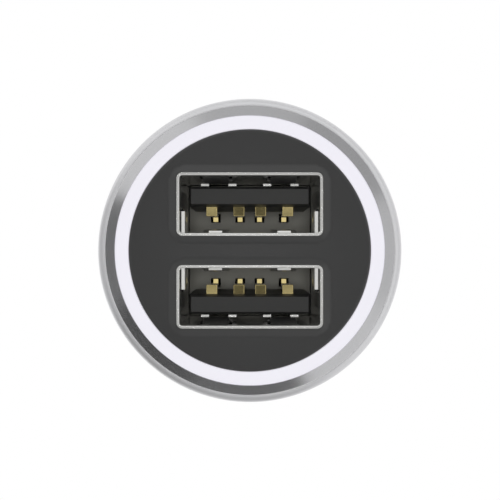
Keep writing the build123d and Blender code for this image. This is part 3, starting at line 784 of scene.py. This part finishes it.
# White surroundings to the eye and in reflections, softer as light
world = bpy.data.worlds.new("Studio")
bpy.context.scene.world = world
world.use_nodes = True
tree = world.node_tree
tree.nodes.clear()
path = add(tree, "ShaderNodeLightPath")
eye = add(tree, "ShaderNodeMath", operation="MAXIMUM")
tree.links.new(path.outputs["Is Camera Ray"], eye.inputs[0])
tree.links.new(path.outputs["Is Glossy Ray"], eye.inputs[1])
seen = add(tree, "ShaderNodeMath", {0: eye.outputs[0]}, operation="MAXIMUM")
tree.links.new(path.outputs["Is Transmission Ray"], seen.inputs[1])
soft = add(tree, "ShaderNodeBackground", inputs={"Color": (1, 1, 1, 1), "Strength": 0.55})
white = add(tree, "ShaderNodeBackground", inputs={"Color": (1, 1, 1, 1), "Strength": 1.0})
both = add(
    tree, "ShaderNodeMixShader", {0: seen.outputs[0], 1: soft.outputs["Background"], 2: white.outputs["Background"]}
)
add(tree, "ShaderNodeOutputWorld", {"Surface": both.outputs["Shader"]})


head_middle = Vector((0, -0.018, 0))


def lamp(name, place, size, power):
    """A soft square lamp that faces the middle of the head."""
    data = bpy.data.lights.new(name, "AREA")
    data.size = size
    data.energy = power
    made = bpy.data.objects.new(name, data)
    bpy.context.scene.collection.objects.link(made)
    made.location = place
    aim = head_middle - Vector(place)
    made.rotation_euler = aim.to_track_quat("-Z", "Y").to_euler()
    return made


def card(name, turn, off_axis, reach, width, height, grey):
    """A card that faces the middle of the head, off the axis and turned about it, both in degrees.

    Metal shows it, and the camera and the light don't. The width lies along the turn.
    """
    deselect()
    around = Quaternion((0, 1, 0), -math.radians(turn))
    aim = Vector((-math.sin(math.radians(off_axis)), math.cos(math.radians(off_axis)), 0))
    bpy.ops.mesh.primitive_plane_add(
        size=1,
        location=around @ (-reach * aim) + head_middle,
        rotation=(around @ aim.to_track_quat("Z", "X")).to_euler(),
    )
    made = bpy.context.object
    made.scale = (width, height, 1)
    settle()
    made.name = name
    made.visible_camera = made.visible_diffuse = made.visible_shadow = made.visible_transmission = False
    tone = bpy.data.materials.new(name + " grey")
    tone.use_nodes = True
    tone.node_tree.nodes.clear()
    flat = add(tone.node_tree, "ShaderNodeEmission", inputs={"Color": (grey, grey, grey, 1), "Strength": 1.0})
    add(tone.node_tree, "ShaderNodeOutputMaterial", {"Surface": flat.outputs["Emission"]})
    made.data.materials.append(tone)


# The lamp in front, the bright card that the metal shows in its place, and a wide grey card behind them
lamp("FrontLamp", (0, -0.36, 0), size=0.10, power=0.6).visible_glossy = False
card("FrontCard", 0, 0, reach=0.432, width=0.28, height=0.28, grey=0.2)
card("CatchCard", 0, 0, reach=0.342, width=0.1, height=0.096, grey=0.9)
# Dark patches above and below the bright card, which the hooks of the middle contacts show
for name, turn in (("HighPatch", 90), ("LowPatch", 270)):
    card(name, turn, 13.6, reach=0.4, width=0.036, height=0.03, grey=0.03)

# A ring of cards beside the head, dark to the upper right and grey to the lower left, as the metal shows.
# Each has its angle off the axis, reach, width and height, and then its grey.
narrow, tall = (77, 0.25, 0.22, 0.075), (67, 0.25, 0.22, 0.38)
card("RightCard", 0, *narrow, 0.12)
card("UpperRightCard", 45, *narrow, 0.01)
card("TopCard", 90, *narrow, 0.08)
card("UpperLeftCard", 135, *narrow, 0.7)
card("LeftCard", 180, *tall, 0.62)
card("LowerLeftCard", 225, *tall, 0.43)
card("BottomCard", 270, *tall, 0.55)
card("LowerRightCard", 315, *narrow, 0.75)

# The camera looks straight along the axis, 62 mm before the face and a hair off its middle, as in the photograph
camera_data = bpy.data.cameras.new("Camera")
camera = bpy.data.objects.new("Camera", camera_data)
bpy.context.scene.collection.objects.link(camera)
camera.location = (0.00002, -0.080, 0.00004)
camera.rotation_euler = (quarter, 0, 0)
camera_data.lens = 50
camera_data.sensor_width = 36
camera_data.clip_start = 0.001
bpy.context.scene.camera = camera
bpy.context.scene.view_settings.view_transform = "Standard"
